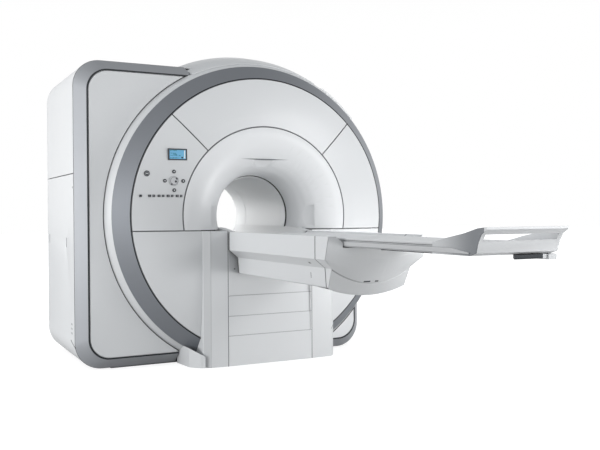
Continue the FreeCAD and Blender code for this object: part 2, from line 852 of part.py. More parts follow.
# ---- floor frame, magnet and what it carries ---------------------------------
def base_frame():
    """Welded floor frame with the magnet's feet and the two uprights that guide the lift."""
    lip_left = housing_left + housing_corner + skirt_lip + seat
    lip_right = housing_right - housing_corner - skirt_lip - seat
    front = housing_front + seat
    rear = housing_rear - rear_depth + seam - seat
    width = rail_width
    bars = [
        box(lip_left, lip_left + width, front, rear, 0, rail_height),
        box(lip_right - width, lip_right, front, rear, 0, rail_height),
        box(lip_left, lip_right, front, front + width, 0, rail_height),
        box(lip_left, lip_right, rear - width, rear, 0, rail_height),
    ]
    for y in foot_rows:
        bars.append(box(lip_left, lip_right, y - foot_size / 2, y + foot_size / 2, 0, rail_height))
    tongue_front = niche_front + niche_wall + seat
    for x in (-post_x, 0.0, post_x):
        bars.append(box(x - post_width, x + post_width, tongue_front, front + 1, 0, rail_height))
    bars.append(box(-slot_half + 20, slot_half - 20, tongue_front, tongue_front + 90, 0, rail_height))
    bars += magnet_feet()
    bars += [lift_post(), mirrored(lift_post())]
    return bars[0].fuse(bars[1:]).removeSplitter()


def magnet_vessel():
    return bore_tube(vessel_bore, vessel_radius, vessel_front, vessel_rear)


def magnet_feet():
    feet = []
    half = foot_size / 2
    top = bore_height - round_chord(vessel_radius, foot_x + half)
    for x in (-foot_x, foot_x):
        for y in foot_rows:
            block = box(x - half, x + half, y - half, y + half, rail_height, top)
            feet.append(block.cut(bore_disc(vessel_radius + seat, 0, far)))
    return feet


def cold_head():
    """Square service turret with its round refrigerator head, under the hood."""
    low = bore_height + vessel_radius - 60
    r = cold_head_radius
    neck = box(-r, r, cold_head_y - r, cold_head_y + r, low, cold_head_top - 120)
    head = post(r - 30, 0, cold_head_y, cold_head_top - 121, cold_head_top)
    return neck.fuse(head).cut(bore_disc(vessel_radius + seat, 0, far))


# ---- bridge ------------------------------------------------------------------
def channel_outline(top, top_half, slope, slope_half):
    return [(-top_half, top), (-slope_half, slope), (-trough_foot_half, trough_floor),
            (trough_foot_half, trough_floor), (slope_half, slope), (top_half, top)]


def bridge_channel():
    """Table channel: as the arm's trough in front, steeper inside the bore."""
    front = channel_outline(arm_top + 40, trough_half + 10, trough_slope, trough_slope_half)
    bore = channel_outline(bridge_bore_top + 13, bridge_bore_half + 4, trough_slope + 5, bridge_bore_slope_half)
    wires = [path(front, lambda p: V(p[0], bridge_front - 1, p[1])),
             path(bore, lambda p: V(p[0], bridge_bore_y, p[1]))]
    entry = Part.makeLoft(wires, True, True)
    return entry.fuse(across(bore, bridge_bore_y, bridge_rear + 1))


def bore_bridge():
    bottom = trough_floor - bridge_floor
    block = sideways([
        (bridge_front, bottom), (bridge_front, arm_top), (bridge_rise_y, bridge_rise),
        (bridge_bore_y, bridge_bore_top), (bridge_rear, bridge_bore_top), (bridge_rear, bottom),
    ], -bridge_half, bridge_half)
    shape = block.cut(bridge_channel()).cut(front_region(seat * 2))
    rail = slide_rail(bridge_front + 1, bridge_rear - 5)
    return shape.fuse([rail, mirrored(rail)])


def slide_rail(y0, y1):
    """Guide rail of the tabletop with a slim waist."""
    h = slide_height
    half = slide_half
    section = [(-half, 0), (half, 0), (half, h * 0.3), (half - 3, h * 0.45), (half - 3, h * 0.6),
               (half, h * 0.75), (half, h), (-half, h), (-half, h * 0.75), (-half + 3, h * 0.6),
               (-half + 3, h * 0.45), (-half, h * 0.3)]
    placed = [(x - slide_x, z + trough_floor) for x, z in section]
    return across(placed, y0, y1)


# ---- lift in the niche -------------------------------------------------------
def niche_panel():
    """Wall of the niche with two slots for the brackets, and the sheets' side guides."""
    top = trough_floor - bridge_floor - seat
    half = slot_half - seat
    wall = box(-half, half, niche_front, niche_front + niche_wall, 0, top)
    low = bracket_bottom - lift_stroke - 5
    slot = box(bracket_inner - 5, bracket_outer + 5, niche_front - 1, niche_front + niche_wall + 1, low, yoke_top + 4)
    strip = box(skirt_half + seat, half, pedestal_front, niche_front, 0, yoke_top)
    return wall.cut(slot).cut(mirrored(slot)).fuse([strip, mirrored(strip)]).removeSplitter()


def skirt_sheet(order, bottom, top):
    """One sheet of the telescoping skirt; order counts back from the front one."""
    y = pedestal_front + order * (sheet + sheet_gap)
    body = box(-skirt_half, skirt_half, y, y + sheet, bottom, top)
    return body


def bracket_cut(gap):
    cutter = box(bracket_inner - gap, bracket_outer + gap, arm_rear, 0, bracket_bottom - gap, yoke_top + 1)
    return cutter.fuse(mirrored(cutter))


def lift_post():
    """Upright with the guide rail that the carriage runs on."""
    half = post_width / 2
    body = box(post_x - half, post_x + half, post_front, post_rear, rail_height, yoke_top)
    rail = box(post_x - guide_width / 2, post_x + guide_width / 2, post_front - guide_depth, post_front,
               rail_height, yoke_top)
    return body.fuse(rail).removeSplitter()


def lift_carriage():
    """Yoke over the ram, two brackets to the arm and a guide shoe at each side."""
    under = yoke_top - yoke_plate
    plate = box(-yoke_half, yoke_half, niche_front + niche_wall + 4, yoke_rear, under, yoke_top)
    bracket = box(bracket_inner, bracket_outer, arm_rear + seat, shoe_front, bracket_bottom, yoke_top)
    half = shoe_width / 2
    shoe = box(post_x - half, post_x + half, shoe_front, post_front - 3, bracket_bottom, yoke_top)
    web = box(bracket_inner, post_x, shoe_front - 12, shoe_front, bracket_bottom, yoke_top)
    pieces = [bracket, shoe, web]
    shape = plate.fuse(pieces + [mirrored(p) for p in pieces])
    channel = box(post_x - guide_width / 2 - seat, post_x + guide_width / 2 + seat,
                  post_front - guide_depth - seat, far, 0, far)
    backing = box(post_x - post_width / 2 - 2, post_x + post_width / 2 + 2, post_front - 1, far, 0, far)
    shape = shape.cut([channel, mirrored(channel), backing, mirrored(backing)])
    return shape.removeSplitter()


def ram_tube():
    tube = post(ram_radius, 0, ram_y, rail_height, ram_top)
    return tube.cut(post(ram_bore, 0, ram_y, rail_height + ram_base, ram_top + 1))


def ram_stage():
    top = ram_top + lift_stroke / 2
    bottom = ram_top - ram_overlap
    tube = post(ram_bore - seat, 0, ram_y, bottom, top)
    return tube.cut(post(ram_stage_bore, 0, ram_y, bottom + ram_base, top + 1))


def ram_rod():
    top = yoke_top - yoke_plate
    bottom = ram_top + lift_stroke / 2 - rod_overlap
    return post(ram_stage_bore - seat, 0, ram_y, bottom, top)


# ---- arm ---------------------------------------------------------------------
def arm_outline():
    """Outside of the arm's section, without the trough."""
    r = arm_foot_round
    turn = math.radians(45)
    cx = arm_foot_half - r
    cz = arm_bottom + r
    mid = (cx + r * math.cos(turn), cz - r * math.sin(turn))
    return [
        (-arm_half, arm_top), (-arm_half, arm_side_bottom), (-arm_step_half, arm_step_top),
        (-arm_foot_half, cz), ((-mid[0], mid[1]), (-cx, arm_bottom)),
        (cx, arm_bottom), (mid, (arm_foot_half, cz)),
        (arm_step_half, arm_step_top), (arm_half, arm_side_bottom), (arm_half, arm_top),
    ]


def trough(y0, y1):
    slope = (trough_half - trough_slope_half) / (arm_top - trough_slope)
    rise = 20.0
    return across(channel_outline(arm_top + rise, trough_half + rise * slope, trough_slope, trough_slope_half), y0, y1)


def arm_hollow(y0, y1):
    """Hollow inside the cover's walls and under the trough."""
    corners = [
        (-arm_half, arm_top), (-arm_half, arm_side_bottom), (-arm_step_half, arm_step_top),
        (-arm_foot_half, arm_bottom), (arm_foot_half, arm_bottom), (arm_step_half, arm_step_top),
        (arm_half, arm_side_bottom), (arm_half, arm_top), (trough_half, arm_top),
        (trough_slope_half, trough_slope), (trough_foot_half, trough_floor),
        (-trough_foot_half, trough_floor), (-trough_slope_half, trough_slope), (-trough_half, arm_top),
    ]
    return across(shrunk(corners, skin), y0, y1)


def arm_shell(y0, y1):
    body = across(arm_outline(), y0, y1).cut(trough(y0 - 1, y1 + 1))
    return body.cut(arm_hollow(y0 - 1, y1 + 1))


def arm_end_cap():
    """Short end piece of the arm, cut on the line where the nose meets it."""
    return arm_shell(nose_joint[0][0] - 5, arm_seam - seam).cut(beyond_joint(0))


def beyond_joint(gap):
    """Everything on the nose's side of its joint with the end cap."""
    line = [(y - gap, z) for y, z in nose_joint]
    reach = line[0][0] - 400
    corners = [(line[-1][0], 0), (reach, 0), (reach, arm_top + 50), (line[0][0], arm_top + 50)]
    return sideways(line + corners, -far, far)


def arm_frame():
    """Two box beams between end plates, the arm's load-bearing core."""
    low = arm_bottom + skin + seat
    high = trough_floor - skin - seat
    tip = nose_joint[0][0]
    beam = box(beam_inner, beam_outer, tip, arm_rear, low, high)
    beam = beam.cut(box(beam_inner + skin, beam_outer - skin, tip - 1, arm_rear + 1, low + skin, high - skin))
    half = beam_outer + 20
    plates = [box(-half, half, y, y + end_plate, low, high) for y in (arm_seam + 10, arm_rear - end_plate)]
    beams = beam.fuse([mirrored(beam)] + plates).removeSplitter()
    return beams.cut(beyond_joint(seam - seat))


def nose_y(z):
    """Y of the joint line between the end cap and the nose at height z."""
    line = nose_joint
    for (y0, z0), (y1, z1) in zip(line, line[1:]):
        if z >= z1:
            return y0 + (y1 - y0) * (z - z0) / (z1 - z0)
    return line[-1][0]


def nose_row(y, z, half, middle):
    """Flat curve across the nose, bowed from its two ends out to the middle point."""
    left = V(-half, y, z)
    right = V(half, y, z)
    bow = Part.Arc(left, V(0, *middle), right).toShape()
    return Part.Wire([bow, Part.LineSegment(right, left).toShape()])


def nose_rows(rows):
    return [nose_row(nose_y(z) - seam, z, half, (y, low)) for z, half, y, low in rows]


def nose_upper():
    """Front wall of the arm's trough, notched for the tabletop and its rack."""
    body = Part.makeLoft(nose_rows(nose_upper_rows), True, True).common(beyond_joint(seam))
    wall = nose_joint[0][0]
    way = trough(-far, 0).common(box(-far, far, -far, 0, handle_bottom - notch_gap, far))
    half = rack_half + notch_gap
    slot = box(-half, half, -far, 0, board_bottom - seat - rack_height - notch_gap, far)
    return body.cut([trough(wall, wall + 90), way, slot])


def nose_lower():
    """Keel of the nose, with a chin that runs out flat under the arm."""
    rows = nose_rows(nose_lower_rows)
    z, half, y, low = nose_lower_rows[-1]
    back = y + chin_length
    rows.append(nose_row(back, z, chin_half, (back, z - chin_tip)))
    return Part.makeLoft(rows, True, True)


# ---- tabletop ----------------------------------------------------------------
def board():
    half = board_half
    g = groove_depth
    low = board_groove - groove_height
    edge = board_edge
    section = [
        (-half, board_bottom), (half, board_bottom), (half, low), (half - g, low), (half - g, board_groove),
        (half, board_groove), (half, board_top - edge), (half - edge, board_top), (-half + edge, board_top),
        (-half, board_top - edge), (-half, board_groove), (-half + g, board_groove), (-half + g, low),
        (-half, low),
    ]
    return across(section, board_foot, board_head)


def board_strip():
    """Accessory rail along the board's lower side, ending in a long wedge."""
    x = board_half + seat
    end = rail_strip_end
    taper = rail_strip_taper
    side = sideways([
        (board_head - 10, rail_strip_bottom), (board_head - 10, rail_strip_top), (end + taper, rail_strip_top),
        (end, rail_strip_bottom + 6), (end, rail_strip_bottom),
    ], x, x + rail_strip)
    return pair(side)


def foot_handle():
    """Raised foot end with its grip slot."""
    foot = board_foot - seat
    side = [(min(board_foot - out, foot), board_top + up) for out, up in handle_profile]
    block = sideways(side + [(foot, handle_bottom)], -board_half, board_half)
    inner = board_half - handle_wall
    hollow = [(board_foot - out, board_top + up) for out, up in handle_tray]
    above = hollow[-1][1]
    tray = sideways([(foot + 1, board_top - 2)] + hollow + [(foot + 1, above)], -inner, inner)
    slot = box(-inner, inner, board_foot - handle_reach, board_foot - handle_slot,
               handle_slot_bottom, handle_bar_bottom)
    return block.cut(tray).cut(slot)


def end_fitting():
    """Docking fitting under the foot end."""
    top = handle_bottom - seat
    front = fitting_rear - fitting_length
    body = box(fitting_left, fitting_right, front, fitting_rear, fitting_bottom, top)
    step = box(fitting_left + fitting_inset, fitting_right - fitting_inset, front - fitting_nose, fitting_rear,
               fitting_bottom + fitting_step, top)
    block = box(fitting_right + seat, board_half, fitting_rear - block_length, fitting_rear, block_bottom, top)
    return Part.makeCompound([body.fuse(step), block])


def drive_rack():
    top = board_bottom - seat
    y1 = board_head - rack_inset
    return box(-rack_half, rack_half, y1 - rack_length, y1, top - rack_height, top)


def board_runners():
    """What hangs under the board: the rack, and four carriages that wrap the guide rails."""
    shoes = [drive_rack()]
    top = board_bottom - seat
    gap = seat
    for y in shoe_places:
        for x in (-slide_x, slide_x):
            body = box(x - shoe_half, x + shoe_half, y - shoe_length / 2, y + shoe_length / 2,
                       trough_floor + 3, top)
            groove = box(x - slide_half - gap, x + slide_half + gap, y - shoe_length, y + shoe_length,
                         trough_floor, trough_floor + slide_height + gap)
            shoes.append(body.cut(groove))
    return Part.makeCompound(shoes)


def drive_unit():
    """Sealed gear motor hung under the trough between the beams."""
    high = trough_floor - skin - seat
    rear = drive_front + drive_length
    body = box(-drive_half, drive_half, drive_front, rear, high - drive_height, high)
    motor = Part.makeCylinder(motor_radius, motor_length, V(0, rear, high - drive_height / 2 - 5), V(0, 1, 0))
    return body.fuse(motor)


# ---- controls ----------------------------------------------------------------
def control_y(x, z):
    """Front of a control: a little proud of the domed face."""
    return face_at(x, z) - proud


def round_control(x, z, radius):
    y = control_y(x, z)
    return stud(radius, x, z, y, y + button_depth)


def square_control(x, z, width, height):
    y = control_y(x, z)
    return box(x - width / 2, x + width / 2, y, y + button_depth, z - height / 2, z + height / 2)


def arrow_places():
    x, z = dial_place
    return {"up": (x, z + arrow_reach), "down": (x, z - arrow_reach),
            "left": (x - arrow_reach, z), "right": (x + arrow_reach, z)}


def control_holes():
    """Holes in the left face panel for everything that passes through it."""
    gap = seat
    y0 = -face_dome - 40
    y1 = face_rim
    holes = [stud(dial_radius + gap, *dial_place, y0, y1), stud(stop_radius + gap, *stop_place, y0, y1)]
    for x, z in arrow_places().values():
        holes.append(stud(arrow_radius + gap, x, z, y0, y1))
    for x in rocker_x:
        half = rocker_width / 2 + rocker_gap
        holes.append(box(x - half, x + half, y0, y1, key_row - key_height / 2 - gap, key_row + key_height / 2 + gap))
    half = power_width / 2 + gap
    holes.append(box(power_x - half, power_x + half, y0, y1, key_row - key_height / 2 - gap,
                     key_row + key_height / 2 + gap))
    holes.append(box(display_left - gap, display_right + gap, y0, y1, display_bottom - gap, display_top + gap))
    return holes


def display_parts():
    y = face_at((display_left + display_right) / 2, (display_bottom + display_top) / 2) - proud
    frame = box(display_left, display_right, y, y + display_depth + 4, display_bottom, display_top)
    f = display_frame
    window = box(display_left + f, display_right - f, y - 1, y + display_depth, display_bottom + f, display_top - f)
    glass = box(display_left + f + seat, display_right - f - seat, y + 1.5, y + display_depth - seat,
                display_bottom + f + seat, display_top - f - seat)
    return frame.cut(window), glass


# ---- build -------------------------------------------------------------------
left_panel, top_panel, right_panel = face_panels()
for hole in control_holes():
    left_panel = left_panel.cut(hole)
save("face_panel_left", left_panel)
save("face_panel_top", top_panel)
save("face_panel_right", right_panel)
save("bore_funnel", bore_funnel())
save("accent_ring", accent_ring())
save("drum_shell", drum_shell())

for name, side in (("left", -1), ("right", 1)):
    save("shield_panel_" + name, shield_panel(side))
    save("shield_bezel_" + name, shield_bezel(side))

for name, cover in zip(("upper_side_cover", "lower_side_cover", "right_side_cover"), side_covers()):
    save(name, cover)
save("rear_cover", rear_cover())
save("rear_mouth", rear_mouth())
save("hood", hood())

save("lower_cover_left", lower_cover(pedestal_half))
save("lower_cover_right", mirrored(lower_cover(pedestal_right)))
save("drum_foot", drum_foot())

save("base_frame", base_frame())
save("magnet_vessel", magnet_vessel())
save("cold_head", cold_head())
save("gradient_coil", bore_tube(body_coil_outer + seat, vessel_bore - seat, body_coil_front, body_coil_rear))
save("body_coil", bore_tube(bore_radius + liner_wall + seat, body_coil_outer, body_coil_front, body_coil_rear))
save("bore_liner", bore_tube(bore_radius, bore_radius + liner_wall, liner_front, liner_rear))
save("bore_bridge", bore_bridge())

save("niche_wall", niche_panel())
low, middle, high = skirt_seams
save("skirt_panel_fixed", skirt_sheet(0, 0, low + skirt_overlap))
save("skirt_panel_lower", skirt_sheet(1, low, middle + skirt_overlap))
save("skirt_panel_middle", skirt_sheet(2, middle, high + skirt_overlap))
save("skirt_panel_upper", skirt_sheet(3, high, skirt_top).cut(bracket_cut(seat)))
save("lift_carriage", lift_carriage())
save("ram_tube", ram_tube())
save("ram_stage", ram_stage())
save("ram_rod", ram_rod())

save("arm_cover", arm_shell(arm_seam, arm_rear))
save("arm_end_cap", arm_end_cap())
save("arm_frame", arm_frame())
save("arm_rails", pair(slide_rail(arm_seam + 20, arm_rear - 1)))
save("drive_unit", drive_unit())
save("nose_upper", nose_upper())
save("nose_lower", nose_lower())

save("tabletop", board())
save("side_rails", board_strip())
save("foot_handle", foot_handle())
save("end_fitting", end_fitting())
save("board_runners", board_runners())

frame, glass = display_parts()
save("display_bezel", frame)
save("display_glass", glass)
save("stop_button", round_control(*stop_place, stop_radius))
save("jog_dial", round_control(*dial_place, dial_radius))
for name, place in arrow_places().items():
    save("arrow_button_" + name, round_control(*place, arrow_radius))
save("power_key", square_control(power_x, key_row, power_width, key_height))
for number, x in enumerate(rocker_x, 1):
    save("rocker_%d" % number, square_control(x, key_row, rocker_width, key_height))
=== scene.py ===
import math
import bmesh
import bpy
from mathutils import Matrix, Vector


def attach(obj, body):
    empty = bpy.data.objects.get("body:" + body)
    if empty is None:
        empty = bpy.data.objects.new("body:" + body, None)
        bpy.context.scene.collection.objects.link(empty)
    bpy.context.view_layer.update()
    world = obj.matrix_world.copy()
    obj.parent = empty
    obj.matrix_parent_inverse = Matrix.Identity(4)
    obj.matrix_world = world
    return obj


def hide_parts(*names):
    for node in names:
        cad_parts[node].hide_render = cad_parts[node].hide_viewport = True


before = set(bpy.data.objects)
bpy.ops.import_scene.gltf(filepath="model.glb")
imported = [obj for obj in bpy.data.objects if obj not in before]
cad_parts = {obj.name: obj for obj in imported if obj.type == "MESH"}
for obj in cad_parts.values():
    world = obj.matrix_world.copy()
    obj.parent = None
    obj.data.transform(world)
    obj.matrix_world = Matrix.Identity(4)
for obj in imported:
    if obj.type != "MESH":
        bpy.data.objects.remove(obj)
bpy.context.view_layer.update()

# ---- camera and stage --------------------------------------------------------
# The camera stands a little above the table's height, to the left of its foot
# end. A plain white floor keeps a faint shadow, and the room behind is white.


def placed(name, data):
    """Puts a new object with this mesh, lamp or camera into the scene."""
    piece = bpy.data.objects.new(name, data)
    bpy.context.scene.collection.objects.link(piece)
    return piece


camera_data = bpy.data.cameras.new("view_camera")
camera_data.sensor_width = 36.0
camera_data.lens = 46.87
camera = placed("view_camera", camera_data)
bpy.context.scene.camera = camera
camera_place = (-2.463, -5.284, 1.095)
yaw, pitch, roll = (math.radians(degrees) for degrees in (27.551, -0.855, -0.275))
ahead = Vector((math.sin(yaw) * math.cos(pitch), math.cos(yaw) * math.cos(pitch), math.sin(pitch)))
level = Vector((math.cos(yaw), -math.sin(yaw), 0.0))
upright = level.cross(ahead)
across = level * math.cos(roll) + upright * math.sin(roll)
upward = upright * math.cos(roll) - level * math.sin(roll)
turned = Matrix((across, upward, -ahead)).transposed().to_4x4()
camera.matrix_world = Matrix.Translation(camera_place) @ turned
bpy.context.scene.view_settings.view_transform = "Standard"


def node_in(tree, kind, inputs=None, **settings):
    """Adds a shader node; inputs maps a socket's name or number to a value or an output."""
    node = tree.nodes.new(kind)
    for key, value in settings.items():
        setattr(node, key, value)
    for key, value in (inputs or {}).items():
        if isinstance(value, bpy.types.NodeSocket):
            tree.links.new(value, node.inputs[key])
        else:
            node.inputs[key].default_value = value
    return node


def maths(tree, operation, *values):
    """Result of a math node on numbers or outputs."""
    return node_in(tree, "ShaderNodeMath", dict(enumerate(values)), operation=operation).outputs[0]


def vector_maths(tree, operation, *values):
    """Result of a vector math node: a number for a length, distance or dot product."""
    outputs = node_in(tree, "ShaderNodeVectorMath", dict(enumerate(values)), operation=operation).outputs
    return outputs["Value" if operation in ("LENGTH", "DISTANCE", "DOT_PRODUCT") else "Vector"]


def ramp(tree, value, start, end, low=0.0, high=1.0, course="LINEAR"):
    """Low at the start value, high at the end value, and held beyond them."""
    return node_in(tree, "ShaderNodeMapRange", {"Value": value, "From Min": start, "From Max": end,
                                                "To Min": low, "To Max": high},
                   interpolation_type=course).outputs[0]


def surface_point(tree):
    return node_in(tree, "ShaderNodeTexCoord").outputs["Object"]


def seen_directly(tree):
    """1 for camera, mirror and glass rays, 0 for the light that falls on the object."""
    rays = node_in(tree, "ShaderNodeLightPath").outputs
    direct = maths(tree, "MAXIMUM", rays["Is Camera Ray"], rays["Is Glossy Ray"])
    return maths(tree, "MAXIMUM", direct, rays["Is Transmission Ray"])


def empty_material(name):
    material = bpy.data.materials.new(name)
    material.use_nodes = True
    material.node_tree.nodes.clear()
    return material


floor_mesh = bpy.data.meshes.new("floor")
sheet = bmesh.new()
bmesh.ops.create_grid(sheet, x_segments=1, y_segments=1, size=40.0)
sheet.to_mesh(floor_mesh)
sheet.free()
floor = placed("floor", floor_mesh)
floor_material = empty_material("studio_floor")
tree = floor_material.node_tree
shadowed = node_in(tree, "ShaderNodeBsdfDiffuse", {"Color": (0.36, 0.36, 0.36, 1)}).outputs[0]
away = vector_maths(tree, "LENGTH", surface_point(tree))
glow_level = ramp(tree, away, 3.2, 8.0, 0.80, 1.0, course="SMOOTHSTEP")
is_mirrored = node_in(tree, "ShaderNodeLightPath").outputs["Is Glossy Ray"]
dimmed = maths(tree, "MULTIPLY_ADD", is_mirrored, -0.8, 1.0)
glow = node_in(tree, "ShaderNodeEmission", {"Color": (1, 1, 1, 1),
                                            "Strength": maths(tree, "MULTIPLY", glow_level, dimmed)})
unlit = node_in(tree, "ShaderNodeEmission", {"Color": (0, 0, 0, 1), "Strength": 0.0})
glow_if_seen = node_in(tree, "ShaderNodeMixShader", {0: seen_directly(tree), 1: unlit.outputs[0],
                                                     2: glow.outputs[0]})
floor_shade = node_in(tree, "ShaderNodeAddShader", {0: shadowed, 1: glow_if_seen.outputs[0]})
node_in(tree, "ShaderNodeOutputMaterial", {"Surface": floor_shade.outputs[0]})
floor_mesh.materials.append(floor_material)

world = bpy.data.worlds.new("studio")
bpy.context.scene.world = world
world.use_nodes = True
tree = world.node_tree
tree.nodes.clear()
direction = node_in(tree, "ShaderNodeTexCoord").outputs["Generated"]
rise = node_in(tree, "ShaderNodeSeparateXYZ", {"Vector": direction}).outputs["Z"]
ceiling = ramp(tree, rise, 0.22, 0.85, course="SMOOTHSTEP")
light_level = node_in(tree, "ShaderNodeMix", {"Factor": ceiling, "A": 0.35, "B": 0.84}).outputs[0]
seen_level = node_in(tree, "ShaderNodeMix", {"Factor": ceiling, "A": 1.0, "B": 0.32}).outputs[0]
room = node_in(tree, "ShaderNodeBackground", {"Color": (0.95, 0.975, 1.0, 1), "Strength": light_level})
backdrop = node_in(tree, "ShaderNodeBackground", {"Color": (1, 1, 1, 1), "Strength": seen_level})
room_or_backdrop = node_in(tree, "ShaderNodeMixShader", {0: seen_directly(tree), 1: room.outputs[0],
                                                         2: backdrop.outputs[0]})
node_in(tree, "ShaderNodeOutputWorld", {"Surface": room_or_backdrop.outputs[0]})


def softbox(name, place, aim, size, power, mirrored=True):
    """A rectangular lamp at a place, turned to its aim, that mirrors in the paint or doesn't."""
    data = bpy.data.lights.new(name, "AREA")
    data.shape = "RECTANGLE"
    data.size, data.size_y = size
    data.energy = power
    lamp = placed(name, data)
    lamp.location = place
    lamp.rotation_mode = "QUATERNION"
    lamp.rotation_quaternion = (Vector(aim) - Vector(place)).to_track_quat("-Z", "Y")
    lamp.visible_glossy = mirrored


softbox("key_right", (2.9, -2.2, 0.45), (0.3, -0.2, 0.5), (1.4, 0.8), 42.0)
softbox("key_high", (3.6, -5.4, 3.0), (0.0, -0.2, 1.0), (2.0, 1.6), 78.0)
softbox("table_left", (-5.4, -0.9, 0.9), (0.0, -1.2, 0.8), (2.4, 1.2), 108.0, mirrored=False)
softbox("fill_left", (-6.0, 1.2, 1.6), (-1.0, 0.8, 0.9), (3.0, 2.4), 84.0)
softbox("end_front", (1.3, -6.6, 0.35), (0.2, -2.4, 0.9), (1.6, 0.7), 92.0, mirrored=False)
softbox("rear_glow", (-0.3, 3.4, 1.15), (0.0, 0.2, 1.1), (1.0, 1.0), 36.0)

# ---- floor frame -------------------------------------------------------------
# Welded steel rails, powder coated dark grey, with the magnet's feet and the
# two uprights that guide the table lift. It stands on the floor inside the covers.
grain_depth = 0.00006
coat_roughness = 0.12


def shader_group(name, inputs, outputs):
    """A node group with named sockets; inputs are given as (name, kind, default)."""
    group = bpy.data.node_groups.new(name, "ShaderNodeTree")
    for label, kind, default in inputs:
        socket = group.interface.new_socket(label, in_out="INPUT", socket_type="NodeSocket" + kind)
        socket.default_value = default
    for label, kind in outputs:
        group.interface.new_socket(label, in_out="OUTPUT", socket_type="NodeSocket" + kind)
    return group, group.nodes.new("NodeGroupInput").outputs


coating, given = shader_group(
    "coated_surface",
    [("Color", "Color", (0.8, 0.8, 0.8, 1)), ("Roughness", "Float", 0.4), ("Grain size", "Float", 700.0),
     ("Grain", "Float", 1.0), ("Mottle", "Float", 0.03)],
    [("Color", "Color"), ("Roughness", "Float"), ("Height", "Float")])
place = surface_point(coating)
grains = node_in(coating, "ShaderNodeTexNoise", {"Vector": place, "Scale": given["Grain size"],
                                                 "Detail": 2.0, "Roughness": 0.5}).outputs["Fac"]
clouds = node_in(coating, "ShaderNodeTexNoise", {"Vector": place, "Scale": 2.3, "Detail": 3.0,
                                                 "Roughness": 0.55}).outputs["Fac"]
centred = maths(coating, "SUBTRACT", clouds, 0.5)
brightness = maths(coating, "MULTIPLY_ADD", centred, given["Mottle"], 1.0)
toned = node_in(coating, "ShaderNodeVectorMath", {0: given["Color"], "Scale": brightness}, operation="SCALE")
node_in(coating, "NodeGroupOutput", {
    "Color": toned.outputs[0],
    "Roughness": maths(coating, "MULTIPLY_ADD", centred, 0.16, given["Roughness"]),
    "Height": maths(coating, "MULTIPLY", grains, given["Grain"])})


def coated(name, colour, roughness, coat=0.0, metallic=0.0, grain_size=700.0, grain=1.0, mottle=0.03,
           marks=None):
    """A painted, moulded or metal finish with a fine grain and slight cloudiness.

    marks makes pairs of a mask and the colour laid over the finish there, first pair lowest.
    """
    material = empty_material(name)
    tree = material.node_tree
    surface = node_in(tree, "ShaderNodeGroup", {
        "Color": (*colour, 1), "Roughness": roughness, "Grain size": grain_size, "Grain": grain,
        "Mottle": mottle}, node_tree=coating).outputs
    bump = node_in(tree, "ShaderNodeBump", {"Height": surface["Height"], "Strength": 0.35,
                                            "Distance": grain_depth})
    tint = surface["Color"]
    for mask, shade in (marks(tree) if marks else ()):
        tint = node_in(tree, "ShaderNodeMix", {0: mask, 6: tint, 7: (*shade, 1)}, data_type="RGBA").outputs[2]
    principled = node_in(tree, "ShaderNodeBsdfPrincipled", {
        "Base Color": tint, "Roughness": surface["Roughness"], "Normal": bump.outputs[0],
        "Metallic": metallic, "Coat Weight": coat, "Coat Roughness": coat_roughness})
    node_in(tree, "ShaderNodeOutputMaterial", {"Surface": principled.outputs[0]})
    return material


def dress(node, material):
    """Gives a CAD node that keeps its own shape its material."""
    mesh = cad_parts[node].data
    mesh.materials.clear()
    mesh.materials.append(material)


powder_grey = coated("powder_coat_grey", (0.10, 0.105, 0.115), 0.55, grain_size=420.0, grain=1.6)
dress("base_frame", powder_grey)

# ---- magnet ------------------------------------------------------------------
# White painted cylindrical vessel on the frame's feet, its service turret, and
# the cast resin coils inside its bore.
vessel_white = coated("vessel_paint", (0.52, 0.52, 0.51), 0.35, coat=0.2)
coil_resin = coated("cast_resin", (0.045, 0.04, 0.035), 0.42, grain_size=160.0, grain=2.0, mottle=0.25)


def smooth_by_angle(mesh, angle=30.0):
    mesh.shade_smooth()
    mesh.set_sharp_from_angle(angle=math.radians(angle))


def softened(node, material, body="gantry", edge=0.0012, angle=30.0, cut=None):
    """Stands for a CAD node with the same walls, welded, and its corners eased by a small radius.

    cut gives a point and a direction: what lies beyond it is taken off.
    """
    shape = bmesh.new()
    shape.from_mesh(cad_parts[node].data)
    bmesh.ops.remove_doubles(shape, verts=shape.verts, dist=0.00002)
    bmesh.ops.dissolve_limit(shape, angle_limit=math.radians(0.4), verts=shape.verts, edges=shape.edges)
    if cut:
        point, direction = cut
        bmesh.ops.bisect_plane(shape, geom=shape.verts[:] + shape.edges[:] + shape.faces[:], dist=0.00001,
                               plane_co=point, plane_no=direction, clear_outer=True)
        bmesh.ops.holes_fill(shape, edges=[rim for rim in shape.edges if rim.is_boundary])
        bmesh.ops.recalc_face_normals(shape, faces=shape.faces)
    mesh = bpy.data.meshes.new(node + "_shell")
    shape.to_mesh(mesh)
    shape.free()
    mesh.materials.clear()
    mesh.materials.append(material)
    smooth_by_angle(mesh, angle)
    piece = placed(node + "_shell", mesh)
    if edge:
        easing = piece.modifiers.new("eased_corners", "BEVEL")
        easing.width = edge
        easing.segments = 2
        easing.limit_method = "ANGLE"
        easing.angle_limit = math.radians(angle + 5)
        easing.harden_normals = True
    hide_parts(node)
    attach(piece, body)


softened("magnet_vessel", vessel_white)
softened("cold_head", vessel_white)
softened("gradient_coil", coil_resin, edge=0)
softened("body_coil", coil_resin, edge=0)

# ---- bore liner --------------------------------------------------------------
# Matt white composite tube that lines the patient's tunnel, with its flared
# rear end, which is moulded by itself and set into the rear cover.
liner_white = coated("liner_composite", (0.72, 0.73, 0.735), 0.5, grain=0.6)
softened("bore_liner", liner_white)
softened("rear_mouth", liner_white)

